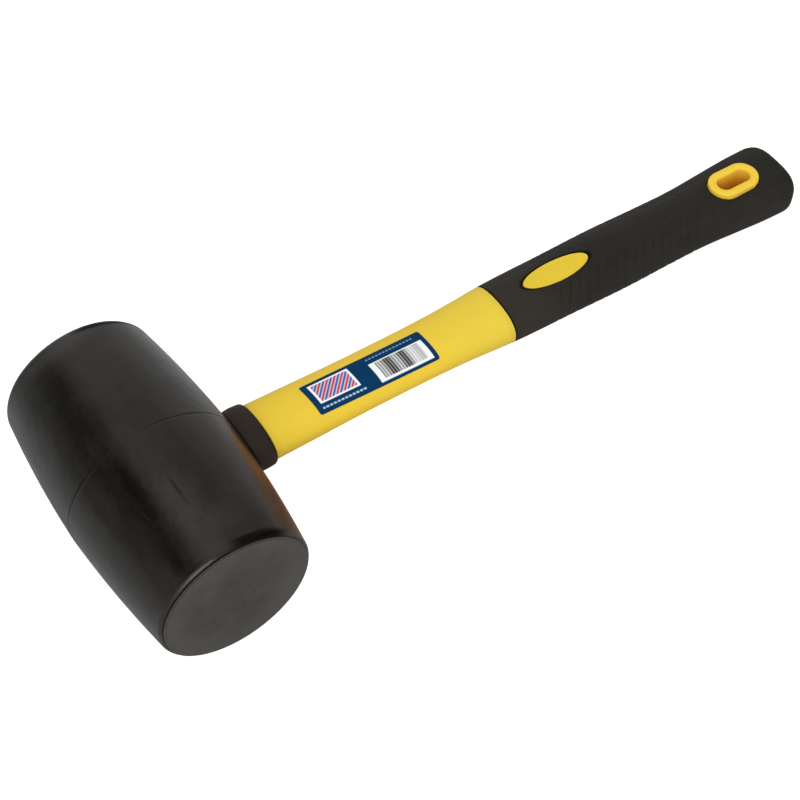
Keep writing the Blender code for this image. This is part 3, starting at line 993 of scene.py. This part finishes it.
def grip_rubber():
    """Matt soft plastic: smooth panels top and bottom, grained sides, light dust, painted shade in the
    grooves and round the openings, painted light on the far side.
    """
    g = Finish("grip_rubber")
    outside = past_panel(g)
    side = g.step(outside, -0.0002, 0.0003)
    border = g.minus(1.0, g.step(g.distance(outside), 0.0, 0.0005))
    patch = g.noise(90.0, 4.0, 0.6)
    dust = g.step(g.noise(800.0, 3.0, 0.6), 0.56, 0.72)
    broad = g.step(g.noise(28.0, 3.0, 0.55), 0.40, 0.62)
    colour = g.mix(patch, (0.0105, 0.0092, 0.0066), (0.0150, 0.0132, 0.0100))
    colour = g.cover(colour, side, 0.4, (0.0190, 0.0165, 0.0125))
    colour = g.cover(colour, g.step(g.x, 0.190, 0.160), 0.6, (0.0290, 0.0220, 0.0165))
    colour = g.cover(colour, dust, 0.28, (0.038, 0.034, 0.029))
    # painted highlight along the top panel's far edge
    far_edge_highlight = g.times(border, g.step(g.y, 0.0, 0.001))
    colour = g.cover(colour, far_edge_highlight, 0.6, (0.030, 0.027, 0.022))
    # painted light over the grip's far (+Y) side
    colour = g.cover(colour, g.step(g.y, 0.001, 0.010), 0.30, (0.030, 0.0275, 0.0230))
    # painted shade in the rib grooves
    colour = g.cover(colour, rib_shade(g), 0.55, (0.0060, 0.0050, 0.0036))
    colour = g.cover(colour, broad, 0.35, (0.0060, 0.0055, 0.0045))
    # painted shade in the gaps round the window and the eyelet, and at the grip's mouth
    painted_shade = opening_shade(g)
    colour = g.cover(colour, painted_shade, 0.85, (0.0028, 0.0014, 0.0006))
    rough = g.plus(g.between(patch, 0.58, 0.70), g.times(side, 0.08))
    normal = g.bump(g.noise(1300.0, 3.0, 0.62), 0.00005)
    normal = g.bump(g.times(g.noise(650.0, 2.0, 0.5), side), 0.00014, normal)
    return g.done(
        colour,
        rough,
        normal,
        IOR=1.38,
        Specular_IOR_Level=g.between(painted_shade, 0.5, 0.15),
        Specular_Tint=(1.0, 0.95, 0.88),
    )


def yellow_plastic():
    """Satin moulded plastic with a fine spark-eroded grain, patchily darker near its ends."""
    g = Finish("yellow_plastic")
    patch = g.noise(55.0, 3.0, 0.5)
    speckle = g.step(g.noise(2400.0, 2.0, 0.6), 0.55, 0.75)
    colour = g.mix(patch, (0.760, 0.525, 0.034), (0.800, 0.560, 0.040))
    # painted light: these steps along the shaft even out its shading, lighter near the head, where the
    # head shades it, and at the eyelet
    colour = g.mix(g.step(g.x, 0.11, 0.15), colour, (0.735, 0.545, 0.045))
    colour = g.mix(g.step(g.x, 0.156, 0.160), colour, (0.720, 0.515, 0.030))
    colour = g.mix(g.step(g.x, 0.24, 0.26), colour, (0.820, 0.560, 0.050))
    colour = g.cover(colour, speckle, 0.16, (0.62, 0.40, 0.02))
    near_collar = g.step(g.x, COLLAR_END + 0.004, COLLAR_END)
    near_grip = g.step(g.x, GRIP_START - 0.003, GRIP_START)
    on_shaft = g.step(g.x, GRIP_START + 0.002, GRIP_START + 0.001)
    # patchily darker close to the collar and to the grip
    end_darkening = g.times(g.most(near_collar, near_grip), g.noise(300.0, 3.0, 0.6), on_shaft)
    colour = g.cover(colour, end_darkening, 0.30, (0.30, 0.19, 0.03))
    # painted warm light: in reflections and bounced light the plastic shows a warmer orange, standing
    # in for light that has gone through it and comes out warmer than the light its surface returns
    seen = g.node("ShaderNodeLightPath").outputs["Is Camera Ray"]
    colour = g.mix(seen, (0.90, 0.36, 0.012), colour)
    scuff = g.step(g.noise(700.0, 2.0, 0.5, (0.08, 1.0, 1.0)), 0.68, 0.74)
    rough = g.plus(g.between(patch, 0.40, 0.50), g.times(scuff, 0.12))
    normal = g.bump(g.noise(1500.0, 3.0, 0.6), 0.00003)
    normal = g.bump(g.noise(45.0, 2.0, 0.5), 0.00020, normal)
    return g.done(colour, rough, normal, IOR=1.42, Specular_Tint=(1.0, 0.92, 0.62))


def label_print():
    """Printed film: navy ground, a frame of slanted stripes, broken lines, a white panel of bars."""
    g = Finish("label_print")
    # u runs from 0 to 1 along the label and w from 0 to 1 across it, both crooked as it is
    low, top = LABEL_OFFSET - LABEL_WIDTH / 2.0, LABEL_OFFSET + LABEL_WIDTH / 2.0
    lean = g.times(g.minus(g.y, low), LABEL_LEAN)
    u = g.over(g.plus(g.minus(g.x, LABEL_START), lean), LABEL_LENGTH)
    drift = g.times(g.minus(u, 0.5), LABEL_SLANT * LABEL_LENGTH)
    w = g.over(g.minus(g.plus(drift, top), g.y), LABEL_WIDTH)

    def span(value, low, high, soft):
        return g.times(
            g.step(value, low - soft, low + soft),
            g.step(value, high + soft, high - soft),
        )

    def block(u0, u1, w0, w1):
        return g.times(span(u, u0, u1, 0.003), span(w, w0, w1, 0.010))

    def repeat(value, period, phase, outer, inner):
        """1 within inner of the middle of each period, 0 beyond outer, as shares of it."""
        at = g.math("FRACT", g.plus(g.over(value, period), phase))
        return g.step(g.distance(at, 0.5), outer, inner)

    def dashes(period, share):
        return repeat(u, period, 0.0, share / 2 + 0.08, share / 2 - 0.08)

    white = (0.84, 0.87, 0.88)
    colour = g.mix(g.noise(200.0, 3.0, 0.6), (0.0006, 0.028, 0.088), (0.0015, 0.038, 0.108))
    # a pale frame filled with plain slanted stripes
    colour = g.mix(block(0.047, 0.378, 0.100, 0.740), colour, white)
    inside = block(0.066, 0.359, 0.150, 0.690)
    slanted = g.plus(g.times(u, LABEL_LENGTH), g.times(w, LABEL_WIDTH))
    colour = g.mix(inside, colour, (0.50, 0.54, 0.68))
    for phase, ink in ((0.0, (0.07, 0.11, 0.36)), (0.5, (0.62, 0.04, 0.05))):
        stripe = repeat(slanted, STRIPE_PITCH, phase, 0.19, 0.12)
        colour = g.mix(g.times(inside, stripe), colour, ink)
    # two broken lines
    line = g.times(block(0.040, 0.400, 0.845, 0.895), dashes(0.031, 0.72))
    colour = g.mix(line, colour, (0.38, 0.50, 0.66))
    line = g.times(block(0.530, 0.930, 0.120, 0.160), dashes(0.029, 0.66))
    colour = g.mix(line, colour, (0.20, 0.31, 0.48))
    # the panel of bars, which fade towards its far end
    colour = g.mix(block(0.520, 0.965, 0.300, 0.925), colour, (0.82, 0.84, 0.84))
    wide = g.math("SINE", g.times(u, 2.0 * math.pi / 0.125))
    thin = g.math("SINE", g.times(u, 2.0 * math.pi / 0.0225))
    ink = g.plus(g.plus(g.times(wide, 0.26), g.times(thin, 0.26)), 0.76)
    fade = g.between(g.step(u, 0.78, 0.86), 1.0, 0.45)
    ink = g.math("MULTIPLY", ink, fade, clamp=True)
    bars = g.times(block(0.565, 0.925, 0.330, 0.860), ink)
    colour = g.mix(bars, colour, (0.045, 0.042, 0.040))
    rough = g.between(g.noise(120.0, 4.0, 0.6), 0.26, 0.42)
    normal = g.bump(g.noise(500.0, 2.0, 0.5), 0.00003)
    return g.done(colour, rough, normal, IOR=1.45, Specular_IOR_Level=0.06)


def glass_fibre():
    """Pultruded rod: pale resin with glass strands drawn along it."""
    g = Finish("glass_fibre")
    strand = g.noise(900.0, 3.0, 0.6, (0.03, 1.0, 1.0))
    colour = g.mix(strand, (0.50, 0.43, 0.26), (0.74, 0.69, 0.52))
    return g.done(colour, g.between(strand, 0.38, 0.6), g.bump(strand, 0.0001))


def cured_adhesive():
    """Amber resin with a rippled skin and small bubbles."""
    g = Finish("cured_adhesive")
    ripple = g.noise(220.0, 3.0, 0.5)
    bubble = g.step(g.noise(1500.0, 2.0, 0.5), 0.64, 0.70)
    colour = g.mix(ripple, (0.50, 0.40, 0.20), (0.68, 0.60, 0.40))
    colour = g.cover(colour, bubble, 0.5, (0.80, 0.76, 0.62))
    return g.done(colour, g.between(ripple, 0.22, 0.42), g.bump(ripple, 0.0002))


def dress_cad_node(name, material):
    obj = frame["nodes"][name]
    obj.data.materials.clear()
    obj.data.materials.append(material)


# ---------------------------------------------------------------- stage


def floor_finish():
    """Pale and matt, lit a little from behind so that it reads as a white sweep."""
    material = bpy.data.materials.new("floor")
    g = Graph(material)
    seen = g.node("ShaderNodeLightPath").outputs["Is Camera Ray"]
    place = g.node("ShaderNodeTexCoord").outputs["Object"]
    parts = g.node("ShaderNodeSeparateXYZ")
    g.feed(parts.inputs[0], place)
    # painted shade: the floor darkens towards -X
    shade = g.ramp(parts.outputs["X"], FLOOR_SHADE_FROM, FLOOR_SHADE_TO)
    # painted warm light on the floor beneath the yellow plastic, standing in for light that has come
    # through it; the camera does not see it
    below = g.node("ShaderNodeMapping", vector_type="TEXTURE")
    g.feed(below.inputs["Vector"], place)
    below.inputs["Location"].default_value = TOOL @ Vector(WARM_SPOT)
    below.inputs["Scale"].default_value = WARM_REACH
    spread = g.node("ShaderNodeTexGradient", gradient_type="QUADRATIC_SPHERE")
    g.feed(spread.inputs["Vector"], below.outputs["Vector"])
    warm = g.minus(spread.outputs["Fac"], seen, clamp=True)
    shader = g.nodes["Principled BSDF"]
    g.feed(shader.inputs["Base Color"], g.mix(warm, shade, WARM_COLOUR))
    g.feed(shader.inputs["Roughness"], 0.9)
    g.feed(shader.inputs["Specular IOR Level"], 0.0)
    g.feed(shader.inputs["Emission Color"], (1.0, 1.0, 1.0))
    g.feed(shader.inputs["Emission Strength"], g.times(seen, FLOOR_GLOW))
    return material


def make_floor():
    bpy.ops.mesh.primitive_grid_add(x_subdivisions=4, y_subdivisions=4, size=FLOOR_SIZE)
    floor = bpy.context.active_object
    floor.name = "floor"
    floor.location = (0.0, 0.0, -FLOOR_DROP)
    floor.data.materials.append(floor_finish())


def direction(azimuth, elevation):
    """A unit vector, from degrees round from +Y towards +X and degrees up."""
    azimuth, elevation = math.radians(azimuth), math.radians(elevation)
    level = math.cos(elevation)
    return Vector((math.sin(azimuth) * level, math.cos(azimuth) * level, math.sin(elevation)))


def make_world():
    """A pale surround: brighter behind and overhead, darker to either side, plain to the camera."""
    world = bpy.data.worlds.new("studio")
    bpy.context.scene.world = world
    g = Graph(world)
    way = g.node("ShaderNodeTexCoord").outputs["Generated"]

    def patch(azimuth, elevation, outer, inner, amount):
        """amount inside inner degrees of a direction, falling to nothing at outer degrees."""
        dot = g.node("ShaderNodeVectorMath", operation="DOT_PRODUCT")
        g.feed(dot.inputs[0], way)
        dot.inputs[1].default_value = direction(azimuth, elevation)
        far, near = (math.cos(math.radians(reach)) for reach in (outer, inner))
        return g.ramp(dot.outputs["Value"], (far, 0.0), (near, amount), "SMOOTHSTEP")

    glow = SURROUND_GLOW
    for spot in BRIGHT_PATCHES:
        glow = g.plus(glow, patch(*spot))
    for spot in DARK_PATCHES:
        glow = g.times(glow, g.minus(1.0, patch(*spot)))
    path = g.node("ShaderNodeLightPath").outputs
    fill = g.times(path["Is Diffuse Ray"], DIFFUSE_FILL)
    background = g.nodes["Background"]
    g.feed(background.inputs["Strength"], g.most(glow, fill, path["Is Camera Ray"]))
    g.feed(background.inputs["Color"], (1.0, 1.0, 1.0))


def soft_light(name, size, energy, place):
    """A round soft light at place, aimed at the origin."""
    light = bpy.data.lights.new(name, "AREA")
    light.shape = "DISK"
    light.size = size
    light.energy = energy
    lamp = bpy.data.objects.new(name, light)
    bpy.context.scene.collection.objects.link(lamp)
    lamp.location = place
    lamp.rotation_mode = "QUATERNION"
    lamp.rotation_quaternion = (-lamp.location).to_track_quat("-Z", "Y")
    return lamp


def make_lights():
    soft_light(*KEY_LIGHT)
    soft_light(*OVERHEAD_LIGHT).visible_glossy = False


def make_camera():
    """The camera, placed in the tool's frame."""
    forward = direction(CAMERA_AZIMUTH, -CAMERA_ELEVATION)
    turn = forward.to_track_quat("-Z", "Y").to_matrix().to_4x4()
    turn = turn @ Matrix.Rotation(math.radians(CAMERA_ROLL), 4, "Z")
    place = Vector(CAMERA_AIM) - forward * CAMERA_DISTANCE
    camera = bpy.data.objects.new("camera", bpy.data.cameras.new("camera"))
    bpy.context.scene.collection.objects.link(camera)
    camera.data.lens = CAMERA_LENS
    camera.data.sensor_width = SENSOR_WIDTH
    camera.data.clip_start = 0.01
    camera.matrix_world = TOOL @ Matrix.Translation(place) @ turn
    bpy.context.scene.camera = camera


# ---------------------------------------------------------------- build


make_barrel()
make_collar()
make_shaft()
make_grip()
make_label()
dress_cad_node("core_rod", glass_fibre())
dress_cad_node("socket_adhesive", cured_adhesive())
make_floor()
make_world()
make_lights()
make_camera()
bpy.context.scene.view_settings.view_transform = "Standard"
